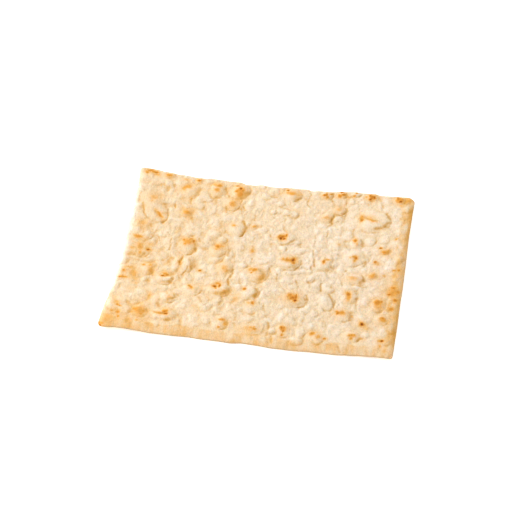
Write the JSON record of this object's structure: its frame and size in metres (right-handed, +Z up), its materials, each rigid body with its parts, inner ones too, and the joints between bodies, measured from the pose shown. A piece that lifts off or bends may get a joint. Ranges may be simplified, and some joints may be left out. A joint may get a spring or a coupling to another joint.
{
  "type": "flatbread",
  "caption": "Rectangular soft flatbread with a blistered, toast-spotted top, rounded thin edges, a flat underside and slightly raised ends.",
  "frame": {"origin": "centre of the bread's outline, on the surface that it lies on", "axes": "+X along the long side towards the straight end, +Y across the bread away from the viewer, +Z up out of the blistered side"},
  "size_m": [0.2404, 0.1878, 0.0079],
  "materials": {
    "crust": "dry floury baked crust, pale cream with golden edges and toasted blister tops"
  },
  "bodies": {
    "root": {"flatbread": "crust"}
  },
  "joints": []
}
